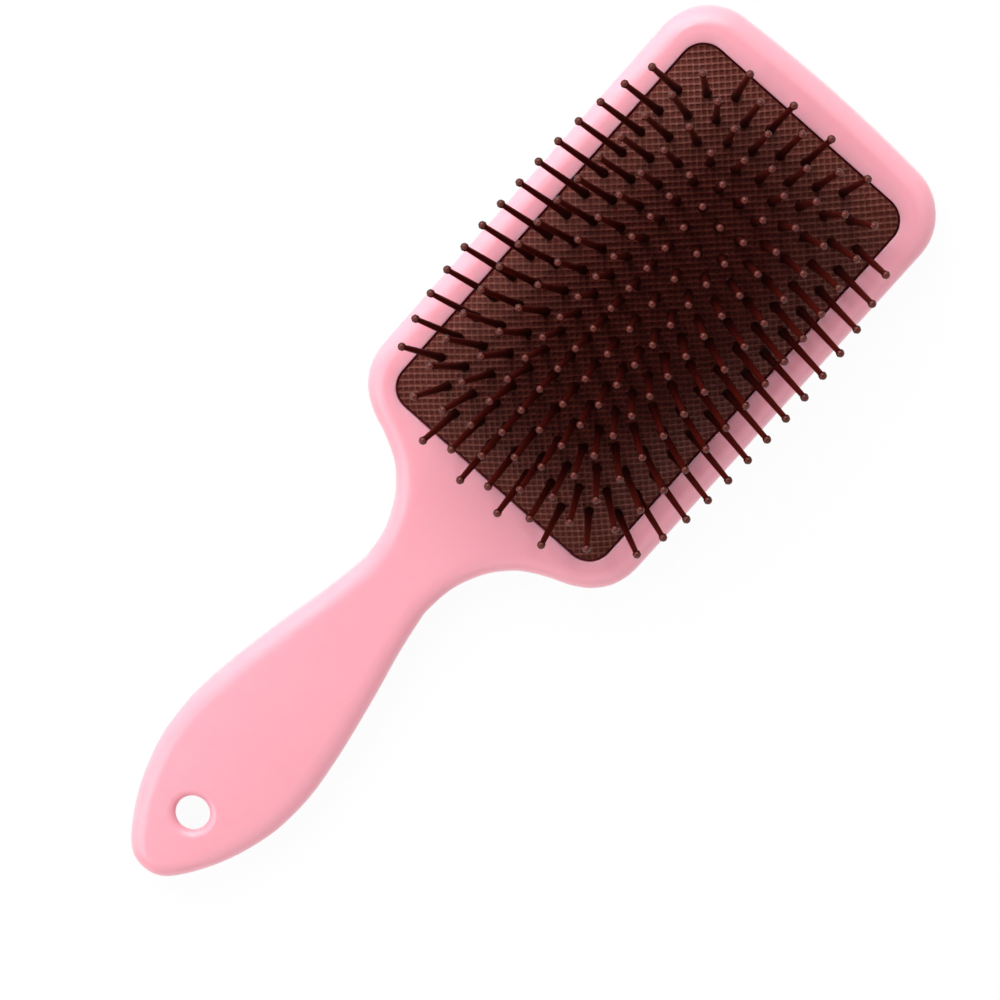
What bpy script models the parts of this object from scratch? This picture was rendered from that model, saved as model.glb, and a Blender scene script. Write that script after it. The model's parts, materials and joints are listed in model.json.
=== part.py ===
# Paddle hair brush: a one-piece moulded body, a domed rubber cushion and ball-tipped pins.
# Metres, +Z up. The brush lies on its back with its pins up and its toe towards +Y.
# The origin is in the plane of the back, under the middle of the brush's length.

import math

import bmesh
import bpy
from mathutils import Matrix
from mathutils import Vector
from mathutils.geometry import delaunay_2d_cdt

# Driving sizes of the body
head_width = 0.0811
head_side_length = 0.1149  # from the toe to the end of the straight sides
heel_length = 0.0419  # from there to the neck
grip_swell_length = 0.0562  # from the neck to the widest part of the grip
grip_end_length = 0.0395  # from there to the tip
toe_bow = 0.0009
toe_corner_radius = 0.0140
neck_width = 0.0198
grip_width = 0.0379
body_thickness = 0.0130
edge_radius = 0.0045
grip_crown = 0.0015  # how far the grip's front swells over its flat edge
tip_lift = 0.0040  # how far the back rises at the grip's tip
tip_lift_length = 0.0560
hang_hole_radius = 0.00425
hang_hole_from_tip = 0.01955
hang_hole_flare = 0.0027  # how much wider the hole's bore is at its back than at its front
hang_hole_front_rim = 0.0022  # radius of the rounding round the hole
hang_hole_back_rim = 0.0024

# Driving sizes of the recess in the head
side_rim_width = 0.0077
toe_rim_width = 0.0097
recess_past_sides = 0.0082  # how far the recess runs past the end of the straight sides
recess_corner_radius = 0.0062
recess_floor = 0.0030  # wall left behind the recess
recess_chamfer = 0.0005
groove_drop = 0.0030  # from the front face to the groove
groove_height = 0.0023
groove_depth = 0.0013

# Driving sizes of the cushion
fit_clearance = 0.0003
cushion_rise = 0.0100  # from the cushion's edge to its crown
cushion_edge_drop = 0.0008  # from the front face to the cushion's edge
membrane_thickness = 0.0012
skirt_thickness = 0.0020
shoulder_radius = 0.0006
shoulder_shares = [0.5, 1.5, 2.5]  # of that radius: where the rings round the shoulder stand

# Driving sizes of a pin and of the strip that joins a group of pins under the rubber
pin_length = 0.0200  # from the cushion to the middle of the ball
ball_radius = 0.00106
pin_root_radius = 0.00095
pin_tip_radius = 0.00068
pin_sides = 4
strip_width = 0.0026
strip_thickness = 0.0007

# Where the pins stand
outer_column_margin = 0.0049  # from the recess's wall to the outermost columns
pin_field_offset = 0.0009  # the pins stand this much nearer to the toe than the recess does
columns_each_side = 5
column_counts = [14, 18, 17, 16, 15, 14]  # from the middle column outwards
column_reach_shares = [0.825, 0.870, 0.826, 0.880, 0.815, 0.745]  # of half the recess's length

# How the crown falls away, and how far the pins lean out with it
crown_side_power = 3.3
crown_end_power = 4.0
side_lean_shares = [0.12, 1.14]
side_lean_power = 2.4
side_lean_end_power = 2.5
end_lean_shares = [0.20, 0.66]
end_lean_power = 4.9
end_lean_side_power = 1.85

# Outline stations, as shares across and along, chosen by eye
heel_shares = [
    (1.000, 0.000), (0.985, 0.105), (0.931, 0.203), (0.833, 0.287), (0.700, 0.350), (0.530, 0.402),
    (0.380, 0.460), (0.271, 0.523), (0.141, 0.640), (0.036, 0.814), (0.000, 1.000),
]
grip_shares = [
    (0.036, 0.080), (0.215, 0.250), (0.421, 0.400), (0.575, 0.520), (0.781, 0.695), (0.940, 0.870),
    (1.000, 1.000),
]
tip_shares = [
    (0.981, 0.200), (0.937, 0.327), (0.864, 0.456), (0.771, 0.582), (0.644, 0.711), (0.485, 0.838),
    (0.348, 0.924), (0.200, 0.980), (0.000, 1.000),
]

# How finely the shapes are drawn
outline_steps = 2
toe_bow_steps = 3
toe_corner_steps = 7
edge_rings = 2
hole_steps = 24
hole_rim_steps = 3
hole_rim_degrees = 80  # how far the rounding turns before it runs straight out of the face
recess_corner_steps = 4
recess_side_steps = 5
recess_end_steps = 3
crown_across_shares = [-0.72, -0.36, 0.0, 0.36, 0.72]
crown_along_shares = [0.08, 0.20, 0.32, 0.44, 0.56, 0.68, 0.78, 0.87, 0.94]
lift_along_shares = [0.0, 0.15, 0.30, 0.45, 0.60, 0.75, 0.88]
ball_cap_degrees = 50  # where the ring round the top of a ball stands
sharp_degrees = 40  # an edge that turns more than this is drawn sharp
flat_facing_share = 0.999  # how nearly upwards a face points that counts as flat
slope_step_share = 0.1  # of the rubber's thickness: the step that a slope is measured over
hole_search_steps = 4
cut_overrun = 0.0020
merge_distance = 0.000001

# Places that follow from the driving sizes
overall_length = head_side_length + heel_length + grip_swell_length + grip_end_length
head_half = head_width / 2
neck_half = neck_width / 2
grip_half = grip_width / 2
toe_y = overall_length / 2
tip_y = -overall_length / 2
side_end_y = toe_y - head_side_length
neck_y = side_end_y - heel_length
grip_y = tip_y + grip_end_length
hole_y = tip_y + hang_hole_from_tip
front_z = body_thickness
recess_half_x = head_half - side_rim_width
recess_toe_y = toe_y - toe_rim_width
recess_heel_y = side_end_y - recess_past_sides
recess_half_y = (recess_toe_y - recess_heel_y) / 2
recess_y = (recess_toe_y + recess_heel_y) / 2
groove_top_z = front_z - groove_drop
groove_low_z = groove_top_z - groove_height
cushion_half_x = recess_half_x - fit_clearance
cushion_half_y = recess_half_y - fit_clearance
cushion_edge_z = front_z - cushion_edge_drop
skirt_low_z = groove_low_z + fit_clearance
lip_top_z = groove_top_z - fit_clearance
lip_reach = groove_depth - fit_clearance
column_pitch = (recess_half_x - outer_column_margin) / columns_each_side


def smooth_step(share):
    share = min(max(share, 0.0), 1.0)
    return share * share * (3 - 2 * share)


# Outline of the body

def spline_through(points, steps):
    """Catmull-Rom curve through the middle points; the first and the last only steer it."""
    drawn = []
    for before, start, end, after in zip(points, points[1:], points[2:], points[3:]):
        for step in range(steps):
            t = step / steps
            drawn.append(
                0.5 * (2 * start + (end - before) * t
                       + (2 * before - 5 * start + 4 * end - after) * t * t
                       + (3 * start - before - 3 * end + after) * t * t * t)
            )
    drawn.append(points[-2])
    return drawn


def toe_outline():
    """Right half of the toe: a slight bow, then the corner's arc down to the straight side."""
    corner_x = head_half - toe_corner_radius
    bow_radius = (corner_x ** 2 + toe_bow ** 2) / (2 * toe_bow)
    bow_end = math.asin(corner_x / (bow_radius - toe_corner_radius))
    bow_y = toe_y - bow_radius
    corner_y = bow_y + (bow_radius - toe_corner_radius) * math.cos(bow_end)
    points = []
    for step in range(toe_bow_steps):
        angle = bow_end * step / toe_bow_steps
        points.append(Vector((bow_radius * math.sin(angle), bow_y + bow_radius * math.cos(angle))))
    for step in range(toe_corner_steps + 1):
        angle = bow_end + (math.pi / 2 - bow_end) * step / toe_corner_steps
        points.append(Vector((corner_x + toe_corner_radius * math.sin(angle),
                              corner_y + toe_corner_radius * math.cos(angle))))
    return points


def between(shares, near, far):
    """Stations from shares: across from the far width to the near one, along from near to far."""
    across_near, along_near = near
    across_far, along_far = far
    return [Vector((across_far + (across_near - across_far) * across,
                    along_near + (along_far - along_near) * along)) for across, along in shares]


def grip_outline():
    """Right side from the end of the straight side, round the heel, down the grip to the tip."""
    heel = between(heel_shares, (head_half, side_end_y), (neck_half, neck_y))
    grip = between([(1 - across, along) for across, along in grip_shares],
                   (neck_half, neck_y), (grip_half, grip_y))
    tip = between(tip_shares, (grip_half, grip_y), (0.0, tip_y))
    stations = heel + grip + tip
    above = Vector((stations[1].x, 2 * side_end_y - stations[1].y))
    beyond = Vector((-stations[-2].x, stations[-2].y))
    return spline_through([above] + stations + [beyond], outline_steps)


right_side = toe_outline() + grip_outline()
body_outline = right_side + [Vector((-point.x, point.y)) for point in reversed(right_side[1:-1])]
body_outline.reverse()


def grip_half_width(y):
    """Half the width of the outline at a place between the neck and the tip."""
    side = [point for point in right_side if point.y <= neck_y + merge_distance]
    for upper, lower in zip(side, side[1:]):
        if lower.y <= y <= upper.y:
            share = (upper.y - y) / max(upper.y - lower.y, merge_distance)
            return upper.x + (lower.x - upper.x) * share
    return 0.0


def grip_swell(x, y):
    """How far the grip's front stands over the flat front face."""
    half_width = grip_half_width(y)
    if half_width < merge_distance:
        return 0.0
    along = smooth_step((neck_y - y) / (neck_y - grip_y))
    if y < grip_y:
        along = 1 - ((grip_y - y) / grip_end_length) ** 2
    return grip_crown * along * max(1 - (x / half_width) ** 2, 0.0)


def back_lift(y):
    """How far the back stands over its flat plane, towards the grip's tip."""
    share = max(tip_y + tip_lift_length - y, 0.0) / tip_lift_length
    return tip_lift * share * share


# Outline of the recess and of the cushion in it

def recess_ring(inset):
    """Points round the recess, anticlockwise, drawn in by an inset from its wall."""
    half_x = recess_half_x - inset
    half_y = recess_half_y - inset
    radius = recess_corner_radius - inset
    ring = []
    corners = [(1, 1, 0.0), (-1, 1, 0.5), (-1, -1, 1.0), (1, -1, 1.5)]
    for number, (side_x, side_y, turn) in enumerate(corners):
        for step in range(recess_corner_steps + 1):
            angle = math.pi * (turn + 0.5 * step / recess_corner_steps)
            ring.append(Vector((side_x * (half_x - radius) + radius * math.cos(angle),
                                side_y * (half_y - radius) + radius * math.sin(angle))))
        steps = recess_end_steps if number % 2 == 0 else recess_side_steps
        next_x, next_y, next_turn = corners[(number + 1) % 4]
        start = ring[-1]
        angle = math.pi * next_turn
        end = Vector((next_x * (half_x - radius) + radius * math.cos(angle),
                      next_y * (half_y - radius) + radius * math.sin(angle)))
        for step in range(1, steps):
            ring.append(start + (end - start) * step / steps)
    return ring


def crown_share(x, y):
    """Height of the cushion over its edge, as a share of its rise, at a place from its middle."""
    across = min(abs(x) / cushion_half_x, 1.0)
    along = min(abs(y) / cushion_half_y, 1.0)
    return (1 - across ** crown_side_power) * (1 - along ** crown_end_power)


def crown_z(x, y):
    return cushion_edge_z + cushion_rise * crown_share(x, y)


def crown_normal(x, y):
    """The way the crown faces, with 1 upwards, so that its length is the slope's stretch."""
    step = membrane_thickness * slope_step_share
    slope_x = (crown_z(x + step, y) - crown_z(x - step, y)) / (2 * step)
    slope_y = (crown_z(x, y + step) - crown_z(x, y - step)) / (2 * step)
    return Vector((-slope_x, -slope_y, 1))


def under_z(x, y):
    """Underside of the rubber: the crown moved down by the wall, measured square to the slope."""
    return crown_z(x, y) - membrane_thickness * crown_normal(x, y).length


# Places, leans and names of the pins

def pin_direction(x, y):
    """The way a pin points: out over the nearest edge, more the nearer it stands to it."""
    across = abs(x) / cushion_half_x
    along = abs(y) / cushion_half_y
    out_x = side_lean_shares[0] * across + side_lean_shares[1] * across ** side_lean_power
    out_y = end_lean_shares[0] * along + end_lean_shares[1] * along ** end_lean_power
    out_x = out_x * (1 - along ** side_lean_end_power)
    out_y = out_y * (1 - across ** end_lean_side_power)
    return Vector((math.copysign(out_x, x), math.copysign(out_y, y), 1)).normalized()


def column_name(column):
    if column == 0:
        return "middle"
    return "%s%d" % ("left" if column < 0 else "right", abs(column))


def column_stretches(count):
    """Names and first and last pins of a column's stretches, which sink by different amounts."""
    return [("toe", 0, 0), ("upper", 1, 2), ("centre", 3, count - 4), ("lower", count - 3, count - 2),
            ("heel", count - 1, count - 1)]


def pin_groups():
    """Each group's name, with its pins' roots on the crown and directions, from the cushion's middle."""
    groups = {}
    for column in range(-columns_each_side, columns_each_side + 1):
        count = column_counts[abs(column)]
        reach = column_reach_shares[abs(column)] * recess_half_y
        for stretch, first, last in column_stretches(count):
            members = []
            for number in range(first, last + 1):
                x = column * column_pitch
                y = reach * (1 - 2 * number / (count - 1)) + pin_field_offset
                members.append((Vector((x, y, crown_z(x, y))), pin_direction(x, y)))
            groups["pins_%s_%s" % (column_name(column), stretch)] = members
    return groups


groups = pin_groups()
pins = [pin for members in groups.values() for pin in members]


def pin_frame(direction):
    """Two directions square to a pin, to lay its cross-section in."""
    first = Vector((1, 0, 0))
    first = (first - direction * first.dot(direction)).normalized()
    return first, direction.cross(first)


def pin_hole(root, direction, surface):
    """Corners of a pin's hole where it meets a surface of the cushion, anticlockwise."""
    radius = pin_root_radius + fit_clearance / math.cos(math.pi / pin_sides)
    first, second = pin_frame(direction)
    corners = []
    for side in range(pin_sides):
        angle = 2 * math.pi * side / pin_sides
        corner = root + radius * (first * math.cos(angle) + second * math.sin(angle))
        for _ in range(hole_search_steps):
            corner = corner + direction * (surface(corner.x, corner.y) - corner.z) / direction.z
        corners.append(corner)
    return corners


# Scene, collections and materials

for old in list(bpy.data.objects):
    bpy.data.objects.remove(old, do_unlink=True)

brush_parts = bpy.data.collections.new("paddle_hair_brush")
bpy.context.scene.collection.children.link(brush_parts)
cutters = bpy.data.collections.new("cutters")
bpy.context.scene.collection.children.link(cutters)


def plain_material(name, colour, roughness, metallic):
    material = bpy.data.materials.new(name)
    material.use_nodes = True
    shader = material.node_tree.nodes["Principled BSDF"]
    shader.inputs["Base Color"].default_value = (*colour, 1)
    shader.inputs["Roughness"].default_value = roughness
    shader.inputs["Metallic"].default_value = metallic
    return material


pink_plastic = plain_material("pink_plastic", (0.91, 0.39, 0.48), 0.28, 0.0)
brown_rubber = plain_material("brown_rubber", (0.075, 0.030, 0.022), 0.75, 0.0)
maroon_nylon = plain_material("maroon_nylon", (0.085, 0.012, 0.008), 0.30, 0.0)


def add_object(name, mesh, material, collection):
    made = bpy.data.objects.new(name, mesh)
    if material:
        mesh.materials.append(material)
    collection.objects.link(made)
    return made


def hide_cutter(cutter):
    cutter.hide_render = True
    cutter.display_type = "WIRE"


def cut_with(target, cutter):
    cut = target.modifiers.new("cut_" + cutter.name, "BOOLEAN")
    cut.operation = "DIFFERENCE"
    cut.solver = "EXACT"
    cut.object = cutter


def turned_mesh(name, profile, steps):
    """A profile of radii and heights, turned round the Z axis."""
    mesh = bpy.data.meshes.new(name)
    corners = [(radius, 0, z) for radius, z in profile]
    mesh.from_pydata(corners, [(place, place + 1) for place in range(len(corners) - 1)], [])
    turned = add_object(name, mesh, None, cutters)
    turn = turned.modifiers.new("turn", "SCREW")
    turn.steps = steps
    turn.render_steps = steps
    turn.use_merge_vertices = True
    turn.merge_threshold = merge_distance
    bpy.context.view_layer.update()
    drawn = bpy.data.meshes.new_from_object(turned.evaluated_get(bpy.context.evaluated_depsgraph_get()))
    bpy.data.objects.remove(turned, do_unlink=True)
    return drawn


def ring_stack(name, rings):
    """Closed mesh through rings of points from the bottom up, each ring anticlockwise."""
    shape = bmesh.new()
    drawn = [[shape.verts.new(point) for point in ring] for ring in rings]
    for lower, upper in zip(drawn, drawn[1:]):
        for place in range(len(lower)):
            after = (place + 1) % len(lower)
            shape.faces.new((lower[place], lower[after], upper[after], upper[place]))
    shape.faces.new(list(reversed(drawn[0])))
    shape.faces.new(drawn[-1])
    mesh = bpy.data.meshes.new(name)
    shape.to_mesh(mesh)
    shape.free()
    return mesh


# Brush body

def rounded_slab():
    """The body's outline as a filled curve with rounded edges, made a mesh."""
    curve = bpy.data.curves.new("body_outline", "CURVE")
    curve.dimensions = "2D"
    curve.fill_mode = "BOTH"
    curve.extrude = body_thickness / 2 - edge_radius
    curve.bevel_depth = edge_radius
    curve.bevel_resolution = edge_rings
    curve.offset = -edge_radius
    spline = curve.splines.new("POLY")
    spline.points.add(len(body_outline) - 1)
    for place, point in enumerate(body_outline):
        spline.points[place].co = (point.x, point.y, 0, 1)
    spline.use_cyclic_u = True
    drawn = bpy.data.objects.new("body_outline", curve)
    drawn.location = (0, 0, body_thickness / 2)
    brush_parts.objects.link(drawn)
    bpy.context.view_layer.update()
    evaluated = drawn.evaluated_get(bpy.context.evaluated_depsgraph_get())
    mesh = bpy.data.meshes.new_from_object(evaluated)
    mesh.transform(drawn.matrix_world)
    bpy.data.objects.remove(drawn, do_unlink=True)
    return mesh


def shape_grip(mesh):
    """Cut the grip's flat faces into grids, crown its front and raise its back towards the tip."""
    shape = bmesh.new()
    shape.from_mesh(mesh)
    bmesh.ops.remove_doubles(shape, verts=shape.verts, dist=merge_distance)
    flat_half = grip_half - edge_radius
    planes = [((share * flat_half, 0, 0), (1, 0, 0), 1) for share in crown_across_shares]
    planes += [((0, neck_y + (tip_y - neck_y) * share, 0), (0, 1, 0), 1) for share in crown_along_shares]
    planes += [((0, tip_y + tip_lift_length * (1 - share), 0), (0, 1, 0), -1) for share in lift_along_shares]
    for place, normal, side in planes:
        flat = [face for face in shape.faces if face.normal.z * side > flat_facing_share
                and min(corner.co.y for corner in face.verts) < neck_y]
        edges = {edge for face in flat for edge in face.edges}
        corners = {corner for face in flat for corner in face.verts}
        bmesh.ops.bisect_plane(shape, geom=flat + list(edges) + list(corners), dist=merge_distance,
                               plane_co=place, plane_no=normal)
    for corner in shape.verts:
        x, y, z = corner.co
        if z > body_thickness / 2:
            corner.co.z += grip_swell(x, y)
        else:
            corner.co.z += back_lift(y) * (1 - z / (body_thickness - edge_radius))
    shape.to_mesh(mesh)
    shape.free()


def recess_cutter():
    """The pocket for the cushion: floor, wall, groove for the lip and chamfered mouth."""
    levels = [
        (0.0, recess_floor),
        (0.0, groove_low_z),
        (-groove_depth, groove_low_z),
        (-groove_depth, groove_top_z),
        (0.0, groove_top_z),
        (0.0, front_z - recess_chamfer),
        (-recess_chamfer - cut_overrun, front_z + cut_overrun),
    ]
    rings = [[(point.x, point.y, z) for point in recess_ring(inset)] for inset, z in levels]
    cutter = add_object("recess_cutter", ring_stack("recess_cutter", rings), None, cutters)
    cutter.location = (0, recess_y, 0)
    hide_cutter(cutter)
    return cutter


def rim_arc(radius, rim, face_z, side):
    """From the bore's wall round a rim, then straight on past the face; side is 1 upwards."""
    end = math.radians(hole_rim_degrees)
    arc = []
    for step in range(hole_rim_steps + 1):
        angle = end * step / hole_rim_steps
        arc.append((radius + rim * (1 - math.cos(angle)), face_z - side * rim * (1 - math.sin(angle))))
    last_radius, last_z = arc[-1]
    arc.append((last_radius + cut_overrun * math.sin(end), last_z + side * cut_overrun * math.cos(end)))
    return arc


def hang_hole_cutter():
    """A spool: the hole's bore, wider towards the back, with both rims rounded."""
    front = front_z + grip_swell(0.0, hole_y)
    back = back_lift(hole_y)
    front_arc = rim_arc(hang_hole_radius, hang_hole_front_rim, front, 1)
    back_arc = rim_arc(hang_hole_radius + hang_hole_flare, hang_hole_back_rim, back, -1)
    profile = [(0.0, front_arc[-1][1])] + list(reversed(front_arc)) + back_arc + [(0.0, back_arc[-1][1])]
    mesh = turned_mesh("hang_hole_cutter", profile, hole_steps)
    for corner in mesh.vertices:
        x, y, z = corner.co
        if z > front - hang_hole_front_rim + merge_distance:
            corner.co.z += grip_swell(x, y + hole_y) - grip_swell(0.0, hole_y)
        elif z < back + hang_hole_back_rim - merge_distance:
            corner.co.z += back_lift(y + hole_y) - back
    cutter = add_object("hang_hole_cutter", mesh, None, cutters)
    cutter.location = (0, hole_y, 0)
    hide_cutter(cutter)
    return cutter


body_mesh = rounded_slab()
body_mesh.name = "brush_body"
shape_grip(body_mesh)
body_mesh.materials.clear()
brush_body = add_object("brush_body", body_mesh, pink_plastic, brush_parts)
cut_with(brush_body, recess_cutter())
cut_with(brush_body, hang_hole_cutter())
body_mesh.shade_smooth()
body_mesh.set_sharp_from_angle(angle=math.radians(sharp_degrees))


# Cushion

def cushion_rings():
    """Rings round the rubber's section: down its inner wall, under the lip, up and over the edge."""
    inner_wall = fit_clearance + skirt_thickness
    near, middle, far = (share * shoulder_radius for share in shoulder_shares)
    field_edge = inner_wall + middle

    def ring_on(inset, height):
        return [Vector((point.x, point.y, height(point.x, point.y))) for point in recess_ring(inset)]

    return [
        ring_on(field_edge, under_z),
        ring_on(inner_wall + near, under_z),
        ring_on(inner_wall, lambda x, y: cushion_edge_z - shoulder_radius),
        ring_on(inner_wall, lambda x, y: skirt_low_z),
        ring_on(-lip_reach, lambda x, y: skirt_low_z),
        ring_on(-lip_reach, lambda x, y: lip_top_z),
        ring_on(fit_clearance, lambda x, y: lip_top_z),
        ring_on(fit_clearance, lambda x, y: cushion_edge_z - shoulder_radius),
        ring_on(fit_clearance + near, crown_z),
        ring_on(fit_clearance + far, crown_z),
        ring_on(field_edge, crown_z),
    ]


def cushion_mesh():
    """The rubber as one closed shell: rings at its edge, a field of holes across its crown."""
    rings = cushion_rings()
    shape = bmesh.new()
    drawn = [[shape.verts.new(point) for point in ring] for ring in rings]
    for outer, inner in zip(drawn, drawn[1:]):
        for place in range(len(outer)):
            after = (place + 1) % len(outer)
            shape.faces.new((outer[place], outer[after], inner[after], inner[place]))

    top_points = list(rings[-1])
    under_points = list(rings[0])
    top = list(drawn[-1])
    under = list(drawn[0])
    loops = [list(range(len(top)))]
    owners = [None] * len(top)
    for number, (root, direction) in enumerate(pins):
        start = len(top)
        upper_corners = pin_hole(root, direction, crown_z)
        lower_corners = pin_hole(root, direction, under_z)
        top_points += upper_corners
        under_points += lower_corners
        top += [shape.verts.new(corner) for corner in upper_corners]
        under += [shape.verts.new(corner) for corner in lower_corners]
        loops.append(list(range(start, len(top))))
        owners += [number] * pin_sides

    edges = [(loop[place], loop[(place + 1) % len(loop)]) for loop in loops for place in range(len(loop))]
    flat = [Vector((point.x, point.y)) for point in top_points]
    found = delaunay_2d_cdt(flat, edges, [], 1, merge_distance)
    source = [origins[0] for origins in found[3]]
    for triangle in found[2]:
        corners = [source[corner] for corner in triangle]
        owner = {owners[corner] for corner in corners}
        if len(owner) == 1 and None not in owner:
            continue
        first, second, third = (flat[corner] for corner in corners)
        if (second - first).cross(third - first) < 0:
            corners.reverse()
        shape.faces.new([top[corner] for corner in corners])
        shape.faces.new([under[corner] for corner in reversed(corners)])
    for loop in loops[1:]:
        for place in range(len(loop)):
            here = loop[place]
            after = loop[(place + 1) % len(loop)]
            shape.faces.new((top[here], top[after], under[after], under[here]))

    mesh = bpy.data.meshes.new("cushion")
    shape.to_mesh(mesh)
    shape.free()
    return mesh


cushion = add_object("cushion", cushion_mesh(), brown_rubber, brush_parts)
cushion.location = (0, recess_y, 0)
cushion.data.shade_smooth()
cushion.data.set_sharp_from_angle(angle=math.radians(sharp_degrees))


# Pins

def pin_template():
    """One pin along +Z with its root at the origin: a tapered shaft from inside its strip, and a ball."""
    shaft_low = -membrane_thickness - fit_clearance - strip_thickness / 2
    neck_of_ball = pin_length - math.sqrt(ball_radius ** 2 - pin_tip_radius ** 2)
    cap_angle = math.radians(ball_cap_degrees)
    profile = [
        (0.0, pin_length + ball_radius),
        (ball_radius * math.cos(cap_angle), pin_length + ball_radius * math.sin(cap_angle)),
        (ball_radius, pin_length),
        (pin_tip_radius, neck_of_ball),
        (pin_root_radius, shaft_low),
        (0.0, shaft_low),
    ]
    return turned_mesh("pin_profile", profile, pin_sides)


def pin_matrix(root, direction):
    first, second = pin_frame(direction)
    turned = Matrix((first, second, direction)).transposed().to_4x4()
    return Matrix.Translation(root) @ turned


def joined_pins(name, members, origin, template):
    """All pins of one group as closed bodies in one mesh, placed from the group's origin."""
    shape = bmesh.new()
    for root, direction in members:
        pin = template.copy()
        pin.transform(pin_matrix(root - origin, direction))
        shape.from_mesh(pin)
        bpy.data.meshes.remove(pin)
    mesh = bpy.data.meshes.new(name)
    shape.to_mesh(mesh)
    shape.free()
    return mesh


def strip_mesh(name, members, origin):
    """The bar under the rubber that a group of pins grows from, bent along the crown's underside."""
    half_width = strip_width / 2
    places = [root.y for root, _ in members]
    stations = [places[0] + half_width] + places[1:-1] + [places[-1] - half_width]
    x = members[0][0].x
    rings = []
    for y in reversed(stations):
        normal = crown_normal(x, y).normalized()
        across = normal.cross(Vector((0, -1, 0))).normalized()
        top = Vector((x, y, crown_z(x, y))) - origin - normal * (membrane_thickness + fit_clearance)
        low = top - normal * strip_thickness
        rings.append([low - across * half_width, low + across * half_width,
                      top + across * half_width, top - across * half_width])
    return ring_stack(name, rings)


cushion_centre = bpy.data.objects.new("cushion_centre", None)
cushion_centre.location = (0, recess_y, 0)
brush_parts.objects.link(cushion_centre)

template_pin = pin_template()
for group_name, members in groups.items():
    middle = sum((root for root, _ in members), Vector()) / len(members)
    strip = add_object(group_name, strip_mesh(group_name, members, middle), maroon_nylon, brush_parts)
    strip.parent = cushion_centre
    strip.location = middle
    shafts = add_object(group_name + "_shafts", joined_pins(group_name + "_shafts", members, middle,
                                                            template_pin), None, cutters)
    shafts.parent = cushion_centre
    shafts.location = middle
    hide_cutter(shafts)
    join = strip.modifiers.new("grow_pins", "BOOLEAN")
    join.operation = "UNION"
    join.solver = "EXACT"
    join.object = shafts
bpy.data.meshes.remove(template_pin)
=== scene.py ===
# Paddle hair brush, dressed: glossy pink body, woven rubber cushion and ball tipped pins.
# Metres, +Z out of the pins' side, toe towards +Y. The toe, tip and sides are read from the packed
# model, and the other sizes stand in the dictionaries.

import json
import math
import bmesh
import bpy
from mathutils import Matrix, Vector


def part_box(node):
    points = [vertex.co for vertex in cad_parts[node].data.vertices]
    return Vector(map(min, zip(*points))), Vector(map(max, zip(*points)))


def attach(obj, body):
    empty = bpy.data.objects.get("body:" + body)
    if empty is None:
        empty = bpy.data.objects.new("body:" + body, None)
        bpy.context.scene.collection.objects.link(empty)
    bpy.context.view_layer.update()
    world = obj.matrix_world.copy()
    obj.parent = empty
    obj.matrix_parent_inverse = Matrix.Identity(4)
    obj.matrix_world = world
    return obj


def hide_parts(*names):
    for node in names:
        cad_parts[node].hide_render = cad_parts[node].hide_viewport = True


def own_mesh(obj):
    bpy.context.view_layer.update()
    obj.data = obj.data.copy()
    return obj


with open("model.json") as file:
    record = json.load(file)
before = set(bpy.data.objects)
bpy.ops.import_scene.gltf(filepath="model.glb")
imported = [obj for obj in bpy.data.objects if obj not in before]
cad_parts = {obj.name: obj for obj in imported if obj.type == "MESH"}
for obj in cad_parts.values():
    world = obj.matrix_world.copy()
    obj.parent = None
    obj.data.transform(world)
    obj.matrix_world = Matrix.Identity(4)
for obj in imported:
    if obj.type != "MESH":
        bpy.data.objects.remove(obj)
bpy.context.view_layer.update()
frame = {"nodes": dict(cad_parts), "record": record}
bodyLow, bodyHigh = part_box("brush_body")
print("frame loaded:", len(frame["nodes"]), "nodes")


# Small tools that the pieces share

nearness = {"same": 0.000001, "touching": 0.00001, "level": 0.0001}  # within these, places agree


def clamped(value):
    return min(max(value, 0.0), 1.0)


def eased(value):  # 0 to 1 with soft ends
    share = clamped(value)
    return share * share * (3 - 2 * share)


def deselectAll():
    if bpy.context.object and bpy.context.object.mode != "OBJECT":
        bpy.ops.object.mode_set(mode="OBJECT")
    bpy.ops.object.select_all(action="DESELECT")


def makeActive(piece):
    deselectAll()
    piece.select_set(True)
    bpy.context.view_layer.objects.active = piece


def startEdit(piece):
    makeActive(piece)
    bpy.ops.object.mode_set(mode="EDIT")
    bpy.ops.mesh.select_all(action="SELECT")


def endEdit():
    bpy.ops.object.mode_set(mode="OBJECT")


def pickParts(piece, kind, wanted):
    bpy.ops.mesh.select_mode(type=kind)
    bpy.ops.mesh.select_all(action="DESELECT")
    shape = bmesh.from_edit_mesh(piece.data)
    for part in shape.edges if kind == "EDGE" else shape.faces:
        if wanted(part):
            part.select_set(True)
    bmesh.update_edit_mesh(piece.data)


def pickEdges(piece, wanted):
    pickParts(piece, "EDGE", wanted)


def pickFaces(piece, wanted):
    pickParts(piece, "FACE", wanted)


def newest(name):
    made = bpy.context.object
    made.name = name
    made.data.name = name
    return made


def applyPlace(piece):
    makeActive(piece)
    bpy.ops.object.transform_apply(location=True, rotation=True, scale=True)


def useModifier(piece, kind, **settings):
    makeActive(piece)
    modifier = piece.modifiers.new(kind.title(), kind)
    for setting, value in settings.items():
        setattr(modifier, setting, value)
    bpy.ops.object.modifier_apply(modifier=modifier.name)


def cutAway(piece, cutter):
    useModifier(piece, "BOOLEAN", operation="DIFFERENCE", solver="EXACT", object=cutter)
    makeActive(cutter)
    bpy.ops.object.delete()


def tidyShape(piece, mergeBy=nearness["same"]):
    startEdit(piece)
    bpy.ops.mesh.remove_doubles(threshold=mergeBy)
    bpy.ops.mesh.normals_make_consistent(inside=False)
    endEdit()


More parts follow.
